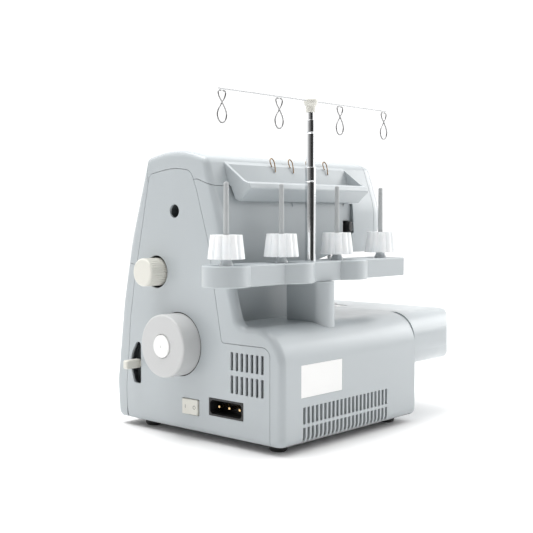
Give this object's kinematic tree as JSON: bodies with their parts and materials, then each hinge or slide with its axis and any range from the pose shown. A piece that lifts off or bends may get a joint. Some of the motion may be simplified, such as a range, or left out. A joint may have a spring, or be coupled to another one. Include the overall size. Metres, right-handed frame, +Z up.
{
  "type": "overlock serger",
  "caption": "Overlock serger with a tower housing, free arm, handwheel, cone spool stand and a telescopic thread guide.",
  "frame": {"origin": "centre of the bottom of the bounding box, on the surface the feet stand on", "axes": "+Z up, +Y towards the back (spool stand side), +X towards the handwheel; the operator sits at -Y"},
  "size_m": [0.3824, 0.2414, 0.344],
  "materials": {
    "body": "fine satin light grey ABS",
    "pale": "satin off-white plastic",
    "cream": "satin cream plastic",
    "pin": "satin mid-grey plastic",
    "cone": "milky translucent polypropylene",
    "black": "satin black plastic",
    "rubber": "black rubber",
    "chrome": "polished",
    "steel": "bright machined steel",
    "brass": "bright wire",
    "casting": "as-cast aluminium"
  },
  "bodies": {
    "root": {"base_pan": "casting", "foot_1": "rubber", "foot_2": "rubber", "foot_3": "rubber", "foot_4": "rubber", "machine_frame": "casting", "rear_casing": "body", "side_cover": "body", "top_cover": "body", "front_panel": "body", "face_cover": "body", "bed_cover": "body", "needle_plate": "steel", "lower_knife": "steel", "motor": "casting", "drive_belt": "rubber", "inlet_socket": "black", "inlet_contacts": "brass", "thread_hooks": "brass", "spool_stand": "body", "stand_column": "body", "spool_pin_1": "pin", "spool_pin_2": "pin", "spool_pin_3": "pin", "spool_pin_4": "pin", "pole_lower": "chrome"},
    "handwheel": {"main_shaft": "steel", "handwheel": "pale", "handwheel_cap": "pale"},
    "motor_pulley": {"motor_pulley": "black"},
    "stitch_length_knob": {"stitch_length_knob": "cream"},
    "differential_lever": {"differential_lever": "cream"},
    "power_switch": {"power_switch": "cream"},
    "pole_middle": {"pole_middle": "chrome"},
    "pole_upper": {"pole_upper": "chrome"},
    "thread_guide": {"guide_cap": "cream", "guide_bar": "steel", "thread_eye_1": "steel", "thread_eye_2": "steel", "thread_eye_3": "steel", "thread_eye_4": "steel"},
    "spool_cone_1": {"spool_cone_1": "cone"},
    "spool_cone_2": {"spool_cone_2": "cone"},
    "spool_cone_3": {"spool_cone_3": "cone"},
    "spool_cone_4": {"spool_cone_4": "cone"},
    "tension_dial_1": {"tension_dial_1": "pale"},
    "tension_dial_2": {"tension_dial_2": "pale"},
    "tension_dial_3": {"tension_dial_3": "pale"},
    "tension_dial_4": {"tension_dial_4": "pale"},
    "presser_lifter": {"presser_lifter": "black"},
    "presser_bar": {"presser_bar": "steel"},
    "presser_foot": {"presser_foot": "steel"},
    "needle_bar": {"needle_bar": "steel"},
    "upper_looper": {"upper_looper": "steel"},
    "lower_looper": {"lower_looper": "steel"},
    "upper_knife": {"upper_knife": "steel"},
    "feed_dog": {"feed_dog": "steel"},
    "cloth_plate": {"cloth_plate": "body"},
    "cover_slider": {"cover_hinge_rod": "steel"},
    "looper_cover": {"looper_cover": "body"}
  },
  "joints": [
    {"name": "handwheel_turn", "type": "hinge", "parent": "root", "child": "handwheel", "pos_m": [0.13853, -0.01981, 0.095], "axis": [1, 0, 0], "continuous": true},
    {"name": "motor_turn", "type": "hinge", "parent": "root", "child": "motor_pulley", "pos_m": [0.12653, 0.07569, 0.074], "axis": [1, 0, 0], "continuous": true},
    {"name": "stitch_length_turn", "type": "hinge", "parent": "root", "child": "stitch_length_knob", "pos_m": [0.13853, -0.05331, 0.168], "axis": [1, 0, 0], "range_deg": [-150, 150]},
    {"name": "differential_feed_swing", "type": "hinge", "parent": "root", "child": "differential_lever", "pos_m": [0.13853, -0.06731, 0.068], "axis": [1, 0, 0], "range_deg": [-28, 28]},
    {"name": "power_rocker", "type": "hinge", "parent": "root", "child": "power_switch", "pos_m": [0.13453, -0.00211, 0.0328], "axis": [0, 0, -1], "range_deg": [0, 14]},
    {"name": "pole_middle_slide", "type": "slide", "parent": "root", "child": "pole_middle", "axis": [0, 0, 1], "range_m": [-0.044, 0.03]},
    {"name": "pole_upper_slide", "type": "slide", "parent": "pole_middle", "child": "pole_upper", "axis": [0, 0, 1], "range_m": [-0.006, 0.07]},
    {"name": "thread_guide_swivel", "type": "hinge", "parent": "pole_upper", "child": "thread_guide", "pos_m": [0.04543, 0.07769, 0.337], "axis": [0, 0, 1], "range_deg": [0, 90]},
    {"name": "spool_cone_lift_1", "type": "slide", "parent": "root", "child": "spool_cone_1", "axis": [0, 0, 1], "range_m": [0, 0.072]},
    {"name": "spool_cone_lift_2", "type": "slide", "parent": "root", "child": "spool_cone_2", "axis": [0, 0, 1], "range_m": [0, 0.072]},
    {"name": "spool_cone_lift_3", "type": "slide", "parent": "root", "child": "spool_cone_3", "axis": [0, 0, 1], "range_m": [0, 0.072]},
    {"name": "spool_cone_lift_4", "type": "slide", "parent": "root", "child": "spool_cone_4", "axis": [0, 0, 1], "range_m": [0, 0.072]},
    {"name": "tension_dial_turn_1", "type": "hinge", "parent": "root", "child": "tension_dial_1", "pos_m": [0.04203, -0.06932, 0.24], "axis": [1, 0, 0], "range_deg": [-150, 150]},
    {"name": "tension_dial_turn_2", "type": "hinge", "parent": "root", "child": "tension_dial_2", "pos_m": [0.01243, -0.06932, 0.24], "axis": [1, 0, 0], "range_deg": [-150, 150]},
    {"name": "tension_dial_turn_3", "type": "hinge", "parent": "root", "child": "tension_dial_3", "pos_m": [-0.01717, -0.06932, 0.24], "axis": [1, 0, 0], "range_deg": [-150, 150]},
    {"name": "tension_dial_turn_4", "type": "hinge", "parent": "root", "child": "tension_dial_4", "pos_m": [-0.04677, -0.06932, 0.24], "axis": [1, 0, 0], "range_deg": [-150, 150]},
    {"name": "presser_lifter_swing", "type": "hinge", "parent": "root", "child": "presser_lifter", "pos_m": [-0.11147, 0.02569, 0.214], "axis": [0, -1, 0], "range_deg": [0, 20]},
    {"name": "presser_bar_lift", "type": "slide", "parent": "root", "child": "presser_bar", "axis": [0, 0, 1], "range_m": [0, 0.006]},
    {"name": "presser_foot_tilt", "type": "hinge", "parent": "presser_bar", "child": "presser_foot", "pos_m": [-0.09747, -0.00981, 0.129], "axis": [-1, 0, 0], "range_deg": [0, 10]},
    {"name": "needle_bar_stroke", "type": "slide", "parent": "root", "child": "needle_bar", "axis": [0, 0, 1], "range_m": [-0.022, 0]},
    {"name": "upper_looper_rock", "type": "hinge", "parent": "root", "child": "upper_looper", "pos_m": [-0.07447, -0.02131, 0.078], "axis": [0, 1, 0], "range_deg": [-8, 8]},
    {"name": "lower_looper_rock", "type": "hinge", "parent": "root", "child": "lower_looper", "pos_m": [-0.10447, -0.04532, 0.072], "axis": [0, 1, 0], "range_deg": [-8, 8]},
    {"name": "upper_knife_stroke", "type": "slide", "parent": "root", "child": "upper_knife", "axis": [0, 0, 1], "range_m": [-0.003, 0.006]},
    {"name": "feed_dog_stroke", "type": "slide", "parent": "root", "child": "feed_dog", "axis": [0, 1, 0], "range_m": [-0.0015, 0.0015]},
    {"name": "looper_cover_slide", "type": "slide", "parent": "root", "child": "cover_slider", "axis": [1, 0, 0], "range_m": [0, 0.012]},
    {"name": "looper_cover_drop", "type": "hinge", "parent": "cover_slider", "child": "looper_cover", "pos_m": [0.02853, -0.11281, 0.013], "axis": [1, 0, 0], "range_deg": [0, 70]},
    {"name": "cloth_plate_swing", "type": "hinge", "parent": "root", "child": "cloth_plate", "pos_m": [-0.08947, 0.11768, 0.088], "axis": [0, 0, -1], "range_deg": [0, 80]}
  ],
  "couplings": [
    {"joint": "motor_turn", "follows": "handwheel_turn", "ratio": 2.6667},
    {"joint": "presser_lifter_swing", "follows": "presser_bar_lift", "rad_per_m": 58.17}
  ]
}
